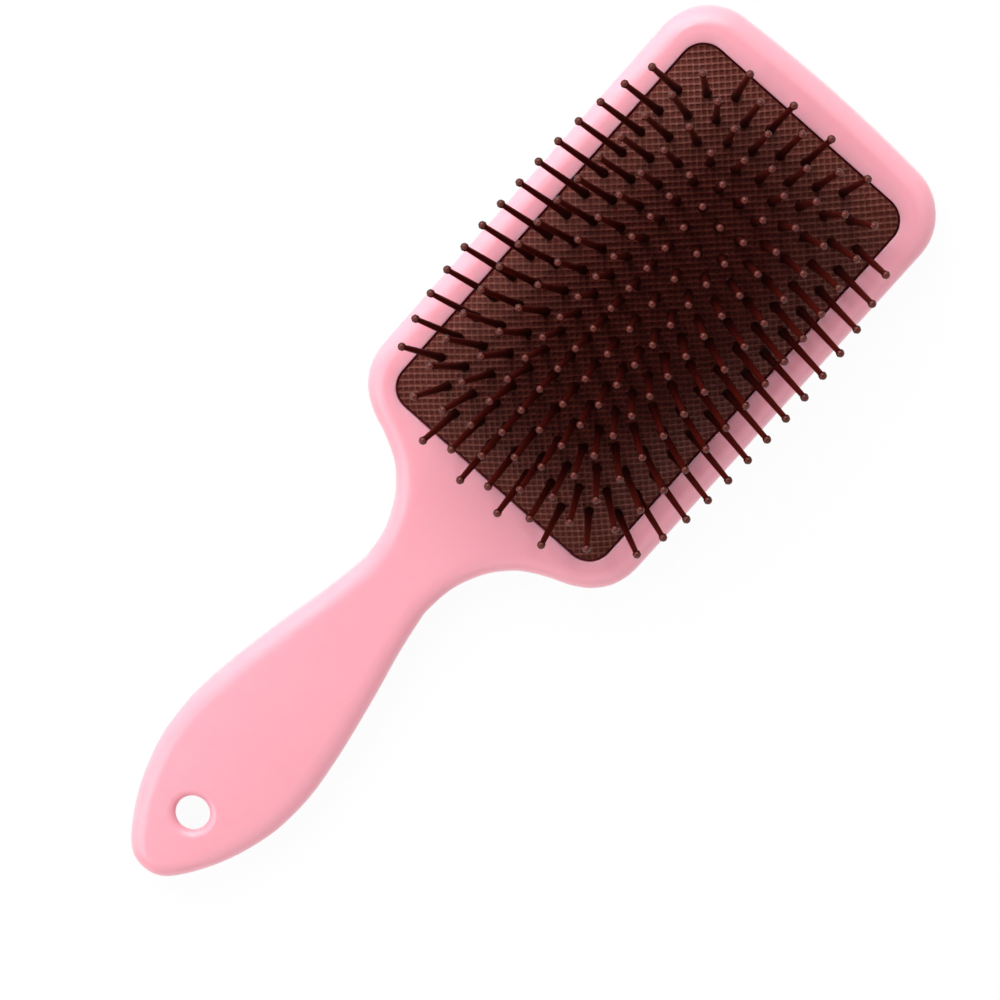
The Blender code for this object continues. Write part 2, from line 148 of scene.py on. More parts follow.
def turnedPiece(name, profile, sides, place=(0.0, 0.0, 0.0)):  # profile: (radius, height), low end first
    deselectAll()
    radius, height = profile[0]
    bpy.ops.mesh.primitive_circle_add(vertices=sides, radius=radius, fill_type="NGON",
                                      location=(place[0], place[1], place[2] + height))
    turned = newest(name)
    applyPlace(turned)
    startEdit(turned)
    for nextRadius, nextHeight in profile[1:]:
        bpy.ops.mesh.extrude_region_move(
            TRANSFORM_OT_translate={"value": (0, 0, nextHeight - height)})
        size = nextRadius / radius
        bpy.ops.transform.resize(value=(size, size, 1),
                                 center_override=(place[0], place[1], place[2] + nextHeight))
        radius, height = nextRadius, nextHeight
    endEdit()
    tidyShape(turned)
    return turned


def roundedRing(halfX, halfY, corner, steps, centreY):  # anticlockwise, one arc for each corner
    places = []
    for quarter in range(4):
        acrossSign = 1 if quarter in (0, 3) else -1
        alongSign = 1 if quarter in (0, 1) else -1
        for step in range(steps + 1):
            angle = math.pi / 2 * (quarter + step / steps)
            places.append((acrossSign * (halfX - corner) + corner * math.cos(angle),
                           centreY + alongSign * (halfY - corner) + corner * math.sin(angle)))
    return places


def steppedBlock(name, halfX, halfY, corner, steps, centreY, levels):  # levels: (outset, height) upwards
    deselectAll()
    count = 4 * (steps + 1)
    bpy.ops.mesh.primitive_circle_add(vertices=count, radius=halfX, fill_type="NGON")
    block = newest(name)
    for number, (outset, height) in enumerate(levels):
        if number:
            startEdit(block)
            pickFaces(block, lambda face: len(face.verts) == count
                      and face.calc_center_median().z > levels[number - 1][1] - nearness["same"])
            bpy.ops.mesh.extrude_region_move(TRANSFORM_OT_translate={"value": (0, 0, nearness["level"])})
            endEdit()
        ring = roundedRing(halfX + outset, halfY + outset, corner + outset, steps, centreY)
        for vertex in block.data.vertices:
            if number == 0:
                vertex.co = (*ring[vertex.index], height)
            elif vertex.select:
                near = min(range(count), key=lambda place: math.dist(lastRing[place], vertex.co[:2]))
                vertex.co = (*ring[near], height)
        lastRing = ring
    tidyShape(block)
    return block


# Materials

def newMaterial(name):
    material = bpy.data.materials.new(name)
    material.use_nodes = True
    nodes = material.node_tree.nodes
    return material, nodes, material.node_tree.links, nodes["Principled BSDF"]


def addNode(nodes, kind, **settings):
    node = nodes.new(kind)
    for setting, value in settings.items():
        setattr(node, setting, value)
    return node


def rampNode(nodes, stops):
    ramp = addNode(nodes, "ShaderNodeValToRGB")
    elements = ramp.color_ramp.elements
    while len(elements) < len(stops):
        elements.new(0.5)
    for element, (position, colour) in zip(elements, stops):
        element.position = position
        element.color = (*colour, 1)
    return ramp


def noiseNode(nodes, links, scale, detail=2.0):
    place = addNode(nodes, "ShaderNodeTexCoord")
    noise = addNode(nodes, "ShaderNodeTexNoise")
    noise.inputs["Scale"].default_value = scale
    noise.inputs["Detail"].default_value = detail
    links.new(place.outputs["Object"], noise.inputs["Vector"])
    return noise


def linkBump(nodes, links, shader, height, strength, distance):
    bump = addNode(nodes, "ShaderNodeBump")
    bump.inputs["Strength"].default_value = strength
    bump.inputs["Distance"].default_value = distance
    links.new(height, bump.inputs["Height"])
    links.new(bump.outputs["Normal"], shader.inputs["Normal"])


def linkRange(nodes, links, source, target, low, high):
    mapped = addNode(nodes, "ShaderNodeMapRange")
    mapped.inputs["To Min"].default_value = low
    mapped.inputs["To Max"].default_value = high
    links.new(source, mapped.inputs["Value"])
    links.new(mapped.outputs["Result"], target)


def linkColours(nodes, links, source, target, stops):  # stops: (position, colour)
    ramp = rampNode(nodes, stops)
    links.new(source, ramp.inputs["Fac"])
    links.new(ramp.outputs["Color"], target)


pinkLook = {
    "colours": [(0.30, (0.858, 0.388, 0.468)), (0.62, (0.870, 0.402, 0.480))],
    "mottleSize": 26.0, "mottleDetail": 3, "smooth": 0.26, "rough": 0.31,
    "grainSize": 1600.0, "grainStrength": 0.25, "grainDepth": 0.000010, "bending": 1.49,
    "glow": 0.50, "glowDepth": 0.005, "glowColours": (1.0, 0.40, 0.45), "coat": 0.15, "coatRough": 0.26,
}


def makePinkPlastic():
    material, nodes, links, shader = newMaterial("glossyPinkPlastic")
    mottle = noiseNode(nodes, links, pinkLook["mottleSize"], pinkLook["mottleDetail"])
    linkColours(nodes, links, mottle.outputs["Fac"], shader.inputs["Base Color"], pinkLook["colours"])
    linkRange(nodes, links, mottle.outputs["Fac"], shader.inputs["Roughness"],
              pinkLook["smooth"], pinkLook["rough"])
    grain = noiseNode(nodes, links, pinkLook["grainSize"])
    linkBump(nodes, links, shader, grain.outputs["Fac"],
             pinkLook["grainStrength"], pinkLook["grainDepth"])
    shader.inputs["IOR"].default_value = pinkLook["bending"]
    shader.inputs["Subsurface Weight"].default_value = pinkLook["glow"]
    shader.inputs["Subsurface Radius"].default_value = pinkLook["glowColours"]
    shader.inputs["Subsurface Scale"].default_value = pinkLook["glowDepth"]
    shader.inputs["Coat Weight"].default_value = pinkLook["coat"]
    shader.inputs["Coat Roughness"].default_value = pinkLook["coatRough"]
    return material


weave = {
    "pitch": 0.0014685, "turn": math.radians(45), "depth": 0.00018, "threadShare": 0.04,
    "slopeShare": 0.30, "crossShare": 0.16, "waver": 0.00018, "waverSize": 240.0,
    "colours": [(0.16, (0.170, 0.066, 0.053)), (0.40, (0.088, 0.0200, 0.0140)),
                (0.95, (0.055, 0.0080, 0.0054))],  # thread, its slope, the hollow between threads: the woven pattern, with a painted sheen on the thread tops and painted shade in the hollows
    "fleckSize": 1500.0, "fleckDetail": 3, "fleckShare": 0.50,
    "streak": (260.0, 800.0, 1.0), "streakTones": (0.55, 1.45), "bumpStrength": 1.0,
    "pinShadeTones": [(0.62, (0.52, 0.20, 0.17)), (1.00, (1, 1, 1))], "flatten": 1000.0,
    "threadRough": 0.40, "hollowRough": 0.56, "shine": 0.22, "shineTint": (1.0, 0.58, 0.50),
}


def makeWovenRubber():
    material, nodes, links, shader = newMaterial("wovenBrownRubber")
    place = addNode(nodes, "ShaderNodeTexCoord")
    waver = noiseNode(nodes, links, weave["waverSize"])
    waved = addNode(nodes, "ShaderNodeVectorMath", operation="MULTIPLY_ADD")
    waved.inputs[1].default_value = (weave["waver"], weave["waver"], 0)
    links.new(waver.outputs["Color"], waved.inputs[0])
    links.new(place.outputs["Object"], waved.inputs[2])
    turn = addNode(nodes, "ShaderNodeMapping")
    turn.inputs["Rotation"].default_value = (0, 0, -weave["turn"])
    turn.inputs["Location"].default_value = (-recessY * math.sin(weave["turn"]),
                                             -recessY * math.cos(weave["turn"]), 0)
    links.new(waved.outputs["Vector"], turn.inputs["Vector"])
    axes = addNode(nodes, "ShaderNodeSeparateXYZ")
    links.new(turn.outputs["Vector"], axes.inputs["Vector"])

    # How far a place is clear of the nearest thread, one way and the other, makes the hollows
    hollow = addNode(nodes, "ShaderNodeMath", operation="MULTIPLY")
    for number, (axis, least) in enumerate((("X", weave["crossShare"]), ("Y", 0.0))):
        turns = addNode(nodes, "ShaderNodeMath", operation="MULTIPLY")
        turns.inputs[1].default_value = 1 / weave["pitch"]
        links.new(axes.outputs[axis], turns.inputs[0])
        apart = addNode(nodes, "ShaderNodeMath", operation="PINGPONG")
        apart.inputs[1].default_value = 0.5  # half a pitch from a thread is the most
        links.new(turns.outputs["Value"], apart.inputs[0])
        clear = addNode(nodes, "ShaderNodeMapRange", interpolation_type="SMOOTHSTEP")
        clear.inputs["From Min"].default_value = weave["threadShare"]
        clear.inputs["From Max"].default_value = weave["threadShare"] + weave["slopeShare"]
        clear.inputs["To Min"].default_value = least
        links.new(apart.outputs["Value"], clear.inputs["Value"])
        links.new(clear.outputs["Result"], hollow.inputs[number])
    fleck = noiseNode(nodes, links, weave["fleckSize"], weave["fleckDetail"])
    # The hollows, broken up by random flecks, set the painted sheen and shade of the colours and the
    # bump's height
    paintedLightShare = addNode(nodes, "ShaderNodeMath", operation="MULTIPLY_ADD")
    paintedLightShare.inputs[1].default_value = weave["fleckShare"]
    links.new(fleck.outputs["Fac"], paintedLightShare.inputs[0])
    links.new(hollow.outputs["Value"], paintedLightShare.inputs[2])

    # Short streaks along the threads change the colour's tone
    along = addNode(nodes, "ShaderNodeMapping")
    along.inputs["Scale"].default_value = weave["streak"]
    links.new(turn.outputs["Vector"], along.inputs["Vector"])
    streak = addNode(nodes, "ShaderNodeTexNoise")
    streak.inputs["Scale"].default_value = 1.0  # the mapping holds the size
    links.new(along.outputs["Vector"], streak.inputs["Vector"])
    toned = addNode(nodes, "ShaderNodeVectorMath", operation="SCALE")
    # Painted sheen and shade: the threads are coloured paler and greyer and the hollows darker
    linkColours(nodes, links, paintedLightShare.outputs["Value"], toned.inputs[0], weave["colours"])
    linkRange(nodes, links, streak.outputs["Fac"], toned.inputs["Scale"], *weave["streakTones"])

    # Painted shade: the rubber is darker amid the pins, where they shade it, and opens up towards its
    # border
    spread = addNode(nodes, "ShaderNodeMapping", vector_type="TEXTURE")
    spread.inputs["Location"].default_value = (0, recessY, 0)
    spread.inputs["Scale"].default_value = (recessHalfX, recessHalfY, weave["flatten"])
    links.new(place.outputs["Object"], spread.inputs["Vector"])
    reach = addNode(nodes, "ShaderNodeVectorMath", operation="LENGTH")
    links.new(spread.outputs["Vector"], reach.inputs[0])
    shaded = addNode(nodes, "ShaderNodeVectorMath", operation="MULTIPLY")
    links.new(toned.outputs["Vector"], shaded.inputs[0])
    linkColours(nodes, links, reach.outputs["Value"], shaded.inputs[1], weave["pinShadeTones"])
    links.new(shaded.outputs["Vector"], shader.inputs["Base Color"])

    bump = addNode(nodes, "ShaderNodeBump", invert=True)
    bump.inputs["Strength"].default_value = weave["bumpStrength"]
    bump.inputs["Distance"].default_value = weave["depth"]
    links.new(paintedLightShare.outputs["Value"], bump.inputs["Height"])
    links.new(bump.outputs["Normal"], shader.inputs["Normal"])
    linkRange(nodes, links, hollow.outputs["Value"], shader.inputs["Roughness"],
              weave["threadRough"], weave["hollowRough"])
    shader.inputs["Specular IOR Level"].default_value = weave["shine"]
    shader.inputs["Specular Tint"].default_value = (*weave["shineTint"], 1)
    return material


blotches = {"glossier": 0.85, "duller": 1.15, "bumpStrength": 0.2, "bumpDepth": 0.00002}


def addBlotches(nodes, links, shader, look):  # uneven gloss and a faint bump
    blotch = noiseNode(nodes, links, look["blotchSize"])
    linkRange(nodes, links, blotch.outputs["Fac"], shader.inputs["Roughness"],
              look["rough"] * blotches["glossier"], look["rough"] * blotches["duller"])
    linkBump(nodes, links, shader, blotch.outputs["Fac"], blotches["bumpStrength"], blotches["bumpDepth"])
    shader.inputs["Specular IOR Level"].default_value = look["shine"]
    return blotch


edgeLook = {
    # Painted shade: near-black, darker than the woven top, for the shade in the groove round the cushion
    "colours": [(0.35, (0.040, 0.0020, 0.0022)), (0.72, (0.060, 0.0040, 0.0040))],
    "blotchSize": 500.0, "rough": 0.70, "shine": 0.08,
}


def makeSmoothRubber():  # the plain border round the imprint, the skirt and the lip: dark rubber, painted near-black as the shade in the groove round the cushion
    material, nodes, links, shader = newMaterial("smoothRubberEdge")
    blotch = addBlotches(nodes, links, shader, edgeLook)
    linkColours(nodes, links, blotch.outputs["Fac"], shader.inputs["Base Color"], edgeLook["colours"])
    return material


pinLook = {
    "colours": [(0.10, (0.008, 0.0008, 0.0006)), (0.45, (0.040, 0.0024, 0.0016)),
                (0.95, (0.076, 0.0054, 0.0030))],  # root, middle, tip: painted shade down at the root, painted light up at the tip
    "stain": 0.25, "blotchSize": 350.0, "rough": 0.40, "shine": 0.12,
}


def makePinNylon():  # painted shade and light: darker down among the roots, where the pins shade each other, paler up towards the tips, with random stains
    material, nodes, links, shader = newMaterial("maroonPinNylon")
    along = addNode(nodes, "ShaderNodeAttribute", attribute_name="alongPin")
    blotch = addBlotches(nodes, links, shader, pinLook)
    # Place along the pin, which sets the painted root shade and tip light, plus random stains
    stainsAndRootShade = addNode(nodes, "ShaderNodeMath", operation="MULTIPLY_ADD")
    stainsAndRootShade.inputs[1].default_value = pinLook["stain"]
    links.new(blotch.outputs["Fac"], stainsAndRootShade.inputs[0])
    links.new(along.outputs["Fac"], stainsAndRootShade.inputs[2])
    linkColours(nodes, links, stainsAndRootShade.outputs["Value"], shader.inputs["Base Color"], pinLook["colours"])
    return material


ballLook = {
    "colours": [(0.30, (0.028, 0.0020, 0.0014)), (0.72, (0.068, 0.0088, 0.0062)),
                (0.97, (0.100, 0.018, 0.0135))],  # by height on the ball: rim, middle, top, with painted shade on the rim and painted light on the top
    "blotchSize": 900.0, "rough": 0.25, "shine": 0.46, "shineTint": (1.0, 0.64, 0.58),
}


def makeBallNylon():  # painted light: the tops of the balls are painted paler and their rims darker, as if lit from above
    material, nodes, links, shader = newMaterial("ballNylonPaintedLight")
    paintedLightShare = addNode(nodes, "ShaderNodeAttribute", attribute_name="ballPaintedLight")
    linkColours(nodes, links, paintedLightShare.outputs["Fac"], shader.inputs["Base Color"], ballLook["colours"])
    addBlotches(nodes, links, shader, ballLook)
    shader.inputs["Specular Tint"].default_value = (*ballLook["shineTint"], 1)
    return material


# Body

body = {
    "straightLength": 0.1149, "toeBow": 0.0009, "toeCorner": 0.0140, "heelLength": 0.0419,
    "neckHalf": 0.0099, "gripHalf": 0.01895, "gripEndLength": 0.0395, "frontZ": 0.0130,
    "edgeRadius": 0.0045, "edgeSteps": 8, "outlineSteps": 7, "toeSteps": 6, "cornerSteps": 18,
    "gripCrown": 0.0015, "weld": 0.000002, "flatness": 0.999, "shadeAngle": math.radians(35),
    "heel": [(1.000, 0.000), (0.985, 0.105), (0.931, 0.203), (0.833, 0.287), (0.700, 0.350),
             (0.530, 0.402), (0.380, 0.460), (0.271, 0.523), (0.141, 0.640), (0.036, 0.814),
             (0.000, 1.000)],
    "swell": [(0.036, 0.080), (0.215, 0.250), (0.421, 0.400), (0.575, 0.520), (0.781, 0.695),
              (0.940, 0.870), (1.000, 1.000)],
    "tip": [(0.981, 0.200), (0.937, 0.327), (0.864, 0.456), (0.771, 0.582), (0.644, 0.711),
            (0.485, 0.838), (0.348, 0.924), (0.200, 0.980), (0.000, 1.000)],
    "neckSlack": 0.001, "columnLines": 11, "rowSpacing": 0.0030, "lift": 0.0040,
    "liftLength": 0.0560, "frameFall": 0.00055, "fallWidth": 0.0069, "heelSpacing": 0.0015,
}
toeY, tipY, headHalf = bodyHigh.y, bodyLow.y, bodyHigh.x
sideEndY = toeY - body["straightLength"]
neckY = sideEndY - body["heelLength"]
gripY = tipY + body["gripEndLength"]


def curveThrough(points, steps):  # the first and last points only steer the curve
    drawn = []
    for before, start, end, after in zip(points, points[1:], points[2:], points[3:]):
        for step in range(steps):
            t = step / steps
            drawn.append(0.5 * (2 * start + (end - before) * t
                                + (2 * before - 5 * start + 4 * end - after) * t * t
                                + (3 * start - before - 3 * end + after) * t * t * t))
    drawn.append(points[-2])
    return drawn


def between(shares, near, far):
    return [Vector((far[0] + (near[0] - far[0]) * across, near[1] + (far[1] - near[1]) * along))
            for across, along in shares]


def toeOutline():
    radius = body["toeCorner"]
    cornerX = headHalf - radius
    bowRadius = (cornerX ** 2 + body["toeBow"] ** 2) / (2 * body["toeBow"])
    bowEnd = math.asin(cornerX / (bowRadius - radius))
    bowY = toeY - bowRadius
    cornerY = bowY + (bowRadius - radius) * math.cos(bowEnd)
    points = []
    for step in range(body["toeSteps"]):
        angle = bowEnd * step / body["toeSteps"]
        points.append(Vector((bowRadius * math.sin(angle), bowY + bowRadius * math.cos(angle))))
    for step in range(body["cornerSteps"] + 1):
        angle = bowEnd + (math.pi / 2 - bowEnd) * step / body["cornerSteps"]
        points.append(Vector((cornerX + radius * math.sin(angle), cornerY + radius * math.cos(angle))))
    return points


def gripOutline():
    heel = between(body["heel"], (headHalf, sideEndY), (body["neckHalf"], neckY))
    swell = between([(1 - across, along) for across, along in body["swell"]],
                    (body["neckHalf"], neckY), (body["gripHalf"], gripY))
    tip = between(body["tip"], (body["gripHalf"], gripY), (0.0, tipY))
    stations = heel + swell + tip
    above = Vector((stations[1].x, 2 * sideEndY - stations[1].y))
    beyond = Vector((-stations[-2].x, stations[-2].y))
    return curveThrough([above] + stations + [beyond], body["outlineSteps"])


rightSide = toeOutline() + gripOutline()


def gripHalfWidth(y):
    for upper, lower in zip(rightSide, rightSide[1:]):
        if lower.y <= y <= upper.y <= neckY + body["neckSlack"]:
            fall = max(upper.y - lower.y, nearness["same"])
            return upper.x + (lower.x - upper.x) * (upper.y - y) / fall
    return 0.0


def gripSwell(x, y):  # how far the grip's front stands over the flat face
    halfWidth = gripHalfWidth(y)
    if y > neckY or halfWidth < nearness["same"]:
        return 0.0
    along = eased((neckY - y) / (neckY - gripY))
    if y < gripY:
        along = 1 - ((gripY - y) / body["gripEndLength"]) ** 2
    return body["gripCrown"] * along * max(1 - (x / halfWidth) ** 2, 0.0)


recess = {
    "sideRim": 0.0077, "toeRim": 0.0097, "pastSides": 0.0082, "corner": 0.0062, "cornerSteps": 14,
    "floorZ": 0.0030, "grooveTop": 0.0100, "grooveLow": 0.0077, "grooveDepth": 0.0013,
    "lip": 0.0003, "lipSteps": 4, "rollWidth": 0.0031, "rollDepth": 0.00026, "rollSteps": 6,
    "pastRoll": 1.02, "crossing": 0.000008,
}
recessHalfX = headHalf - recess["sideRim"]
recessHalfY = (body["straightLength"] - recess["toeRim"] + recess["pastSides"]) / 2
recessY = toeY - recess["toeRim"] - recessHalfY

hangHole = {
    "radius": 0.00425, "fromTip": 0.01955, "frontRim": 0.0022, "backRim": 0.0024, "flare": 0.0027,
    "sides": 64, "rimSteps": 8, "rimEnd": math.radians(80), "overrun": 0.0025,
}
holeY = tipY + hangHole["fromTip"]


def tipLift(y):  # how far the back rises towards the grip's tip
    share = max(tipY + body["liftLength"] - y, 0.0) / body["liftLength"]
    return body["lift"] * share * share


def rimArc(radius, rim, height, side):  # round the rim, then straight on past the face; side is 1 upwards
    places = []
    for step in range(hangHole["rimSteps"] + 1):
        angle = hangHole["rimEnd"] * step / hangHole["rimSteps"]
        places.append((radius + rim * (1 - math.cos(angle)), height - side * rim * (1 - math.sin(angle))))
    last = places[-1]
    places.append((last[0] + hangHole["overrun"] * math.sin(hangHole["rimEnd"]),
                   last[1] + side * hangHole["overrun"] * math.cos(hangHole["rimEnd"])))
    return places


def makeSpool():
    top = body["frontZ"] + gripSwell(0, holeY)
    low = tipLift(holeY)
    waist = top - hangHole["frontRim"]
    profile = list(reversed(rimArc(hangHole["radius"] + hangHole["flare"], hangHole["backRim"], low, -1)))
    profile += rimArc(hangHole["radius"], hangHole["frontRim"], top, 1)
    spool = turnedPiece("spool", profile, hangHole["sides"], place=(0, holeY, 0))
    for corner in spool.data.vertices:  # both rims follow the faces that they open in
        x, y, z = corner.co
        if z > waist + nearness["touching"]:
            corner.co.z += gripSwell(x, y) - gripSwell(0, holeY)
        elif z < low + hangHole["backRim"] - nearness["touching"]:
            corner.co.z += tipLift(y) - tipLift(holeY)
    return spool


def edgeDistance(x, y):  # from the body's outline, on the head
    place = Vector((abs(x), y))
    nearest = headHalf
    for start, end in zip(rightSide, rightSide[1:]):
        if abs(start.y - y) < body["fallWidth"] * 2 or abs(end.y - y) < body["fallWidth"] * 2:
            along = end - start
            share = clamped((place - start).dot(along) / max(along.length_squared, nearness["same"] ** 2))
            nearest = min(nearest, (place - start - along * share).length)
    return nearest


def frameFall(x, y):  # the head's face falls away to its edge, less and less towards the neck
    inside = min(edgeDistance(x, y) / body["fallWidth"], 1.0)
    return body["frameFall"] * eased((y - neckY) / body["heelLength"]) * (1 - inside) ** 2


def pocketLevels():  # floor, wall, groove for the cushion's lip, rounded edge, the frame's shallow roll
    depth, width = recess["rollDepth"], recess["rollWidth"]
    slope = math.atan(2 * depth / width)
    lipSide = math.pi / 2 - slope
    edgeZ = body["frontZ"] - depth
    levels = [(0, recess["floorZ"]), (0, recess["grooveLow"]),
              (recess["grooveDepth"], recess["grooveLow"]),
              (recess["grooveDepth"], recess["grooveTop"]), (0, recess["grooveTop"])]
    for step in range(recess["lipSteps"] + 1):
        angle = lipSide * step / recess["lipSteps"]
        levels.append((recess["lip"] * (1 - math.cos(angle)),
                       edgeZ - recess["lip"] * (math.sin(lipSide) - math.sin(angle))))
    lipEnd = levels[-1][0]
    for step in range(1, recess["rollSteps"] + 1):
        share = step / recess["rollSteps"]
        levels.append((lipEnd + width * share,
                       body["frontZ"] + recess["crossing"] - depth * (1 - share) ** 2))
    levels.append((lipEnd + width * recess["pastRoll"], body["frontZ"] + recess["lip"]))
    return levels


def facesAt(side, reach):  # flat faces on the front (1) or the back (-1) that reach below a place
    return lambda face: (face.normal.z * side > body["flatness"]
                         and min(corner.co.y for corner in face.verts) < reach - nearness["level"])


def headFace(face):
    return (face.normal.z > body["flatness"]
            and max(corner.co.y for corner in face.verts) > neckY + nearness["level"])


def makeBody():
    outline = rightSide + [Vector((-point.x, point.y)) for point in reversed(rightSide[1:-1])]
    outline = [outline[0]] + outline[:0:-1]  # anticlockwise from the toe, as a new circle runs
    deselectAll()
    bpy.ops.mesh.primitive_circle_add(vertices=len(outline), radius=headHalf, fill_type="NGON")
    shell = newest("brushBody")
    for corner, point in zip(shell.data.vertices, outline):
        corner.co = (point.x, point.y, 0)
    startEdit(shell)
    bpy.ops.mesh.extrude_region_move(TRANSFORM_OT_translate={"value": (0, 0, body["frontZ"])})
    bpy.ops.mesh.select_all(action="SELECT")
    bpy.ops.mesh.normals_make_consistent(inside=False)
    pickEdges(shell, lambda edge: abs(edge.verts[0].co.z - edge.verts[1].co.z) < nearness["level"])
    bpy.ops.mesh.bevel(offset=body["edgeRadius"], segments=body["edgeSteps"], affect="EDGES")

    # Lines across the grip's front, which swells, and its back, which rises, and along the front
    flatHalf = body["gripHalf"] - body["edgeRadius"]
    for step in range(int((neckY - tipY) / body["rowSpacing"])):
        place = (0, neckY - step * body["rowSpacing"], 0)
        for side in (1, -1):
            pickFaces(shell, facesAt(side, neckY))
            bpy.ops.mesh.bisect(plane_co=place, plane_no=(0, 1, 0), threshold=nearness["same"])
    for step in range(body["columnLines"]):
        pickFaces(shell, facesAt(1, neckY))
        bpy.ops.mesh.bisect(plane_co=((2 * (step + 0.5) / body["columnLines"] - 1) * flatHalf, 0, 0),
                            plane_no=(1, 0, 0), threshold=nearness["same"])

    # A finer grid on the heel's flat, which falls away to its edges
    for step in range(1, int((sideEndY - neckY) / body["heelSpacing"])):
        pickFaces(shell, headFace)
        bpy.ops.mesh.bisect(plane_co=(0, neckY + step * body["heelSpacing"], 0), plane_no=(0, 1, 0),
                            threshold=nearness["same"])
    for step in range(1, int(2 * headHalf / body["heelSpacing"])):
        pickFaces(shell, lambda face: headFace(face) and facesAt(1, sideEndY - recess["pastSides"])(face))
        bpy.ops.mesh.bisect(plane_co=(-headHalf + step * body["heelSpacing"], 0, 0), plane_no=(1, 0, 0),
                            threshold=nearness["same"])
    endEdit()
    for corner in shell.data.vertices:
        if corner.co.z > body["frontZ"] / 2:
            corner.co.z += gripSwell(corner.co.x, corner.co.y)
        else:
            wallShare = corner.co.z / (body["frontZ"] - body["edgeRadius"])
            corner.co.z += tipLift(corner.co.y) * (1 - wallShare)

    pocket = steppedBlock("pocket", recessHalfX, recessHalfY, recess["corner"], recess["cornerSteps"],
                          recessY, pocketLevels())
    cutAway(shell, pocket)
    cutAway(shell, makeSpool())
    tidyShape(shell, body["weld"])
    for corner in shell.data.vertices:
        if corner.co.z > body["frontZ"] / 2 and corner.co.y > neckY:
            corner.co.z -= frameFall(corner.co.x, corner.co.y)
    makeActive(shell)
    bpy.ops.object.shade_smooth_by_angle(angle=body["shadeAngle"])
    useModifier(shell, "WEIGHTED_NORMAL", keep_sharp=True)
    shell.data.materials.clear()
    shell.data.materials.append(makePinkPlastic())
    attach(shell, "brush")
    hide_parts("brush_body")
    return shell


brushBody = makeBody()
print("body made:", len(brushBody.data.polygons), "faces")


# The cushion's form, which the pins stand on

cushion = {
    "clearance": 0.0002, "edgeZ": 0.0122, "rise": 0.0100, "sidePower": 3.3, "endPower": 4.0,
    "wall": 0.0012, "skirtWall": 0.0010, "skirtLow": 0.0080, "lipTop": 0.0097, "lipReach": 0.0012,
    "shoulder": 0.00035, "shoulderSteps": 4, "slopeStep": 0.00005, "fineCuts": 2,
    "border": 0.00040, "fade": 0.0004, "upward": 0.2, "crownBand": 0.0006, "weld": 0.000002,
    "shadeAngle": math.radians(65),
}
cushionHalfX = recessHalfX - cushion["clearance"]
cushionHalfY = recessHalfY - cushion["clearance"]
cushionCorner = recess["corner"] - cushion["clearance"]


def crownShare(x, y):
    across = min(abs(x) / cushionHalfX, 1.0)
    along = min(abs(y) / cushionHalfY, 1.0)
    return (1 - across ** cushion["sidePower"]) * (1 - along ** cushion["endPower"])


def crownZ(x, y):
    return cushion["edgeZ"] + cushion["rise"] * crownShare(x, y)


# Pins

pins = {
    "length": 0.0200, "ball": 0.00106, "tip": 0.00068, "shaft": 0.00093, "collar": 0.00118,
    "collarHeight": 0.0012, "collarTop": 0.0027, "head": 0.0015, "headLow": -0.0023,
    "headTop": -0.0015, "headSlope": 0.0003, "sides": 8, "ballSteps": 4, "ballEnd": 0.92,
    "shadeAngle": math.radians(60),
    "margin": 0.0049, "offset": 0.0009, "columns": 5, "counts": [14, 18, 17, 16, 15, 14],
    "reaches": [0.825, 0.870, 0.826, 0.880, 0.815, 0.745],
    "sideLean": (0.12, 1.14, 2.4, 2.5), "endLean": (0.20, 0.66, 4.9, 1.85),
}


def pinDirection(x, y):
    across = abs(x) / cushionHalfX
    along = abs(y) / cushionHalfY
    first, second, power, fade = pins["sideLean"]
    outX = (first * across + second * across ** power) * (1 - along ** fade)
    first, second, power, fade = pins["endLean"]
    outY = (first * along + second * along ** power) * (1 - across ** fade)
    return Vector((math.copysign(outX, x), math.copysign(outY, y), 1)).normalized()


def columnName(column):
    return "middle" if column == 0 else "%s%d" % ("left" if column < 0 else "right", abs(column))


pinNylon = makePinNylon()
ballNylon = makeBallNylon()


def pinGroups():
    pitch = (recessHalfX - pins["margin"]) / pins["columns"]
    for column in range(-pins["columns"], pins["columns"] + 1):
        count = pins["counts"][abs(column)]
        reach = pins["reaches"][abs(column)] * recessHalfY
        for stretch, first, last in (("toe", 0, 0), ("upper", 1, 2), ("centre", 3, count - 4),
                                     ("lower", count - 3, count - 2), ("heel", count - 1, count - 1)):
            roots = []
            for number in range(first, last + 1):
                roots.append((column * pitch, reach * (1 - 2 * number / (count - 1)) + pins["offset"]))
            yield "pins_%s_%s" % (columnName(column), stretch), roots


def makePin():
    profile = [(pins["head"], pins["headLow"]), (pins["head"], pins["headTop"]),
               (pins["collar"], pins["headTop"] + pins["headSlope"]),
               (pins["collar"], pins["collarHeight"]), (pins["shaft"], pins["collarTop"])]
    start = math.asin(pins["tip"] / pins["ball"])
    for step in range(pins["ballSteps"] + 1):
        angle = start + (math.pi * pins["ballEnd"] - start) * step / pins["ballSteps"]
        profile.append((pins["ball"] * math.sin(angle), pins["length"] - pins["ball"] * math.cos(angle)))
    pin = turnedPiece("pin", profile, pins["sides"])
    pin.data.materials.append(pinNylon)
    pin.data.materials.append(ballNylon)
    for face in pin.data.polygons:
        face.material_index = 1 if face.center.z > pins["length"] - pins["ball"] else 0
    along = pin.data.attributes.new("alongPin", "FLOAT", "POINT")
    for corner, value in zip(pin.data.vertices, along.data):
        value.value = corner.co.z / pins["length"]
    makeActive(pin)
    bpy.ops.object.shade_smooth_by_angle(angle=pins["shadeAngle"])
    print("one pin:", len(pin.data.polygons), "faces")
    return pin


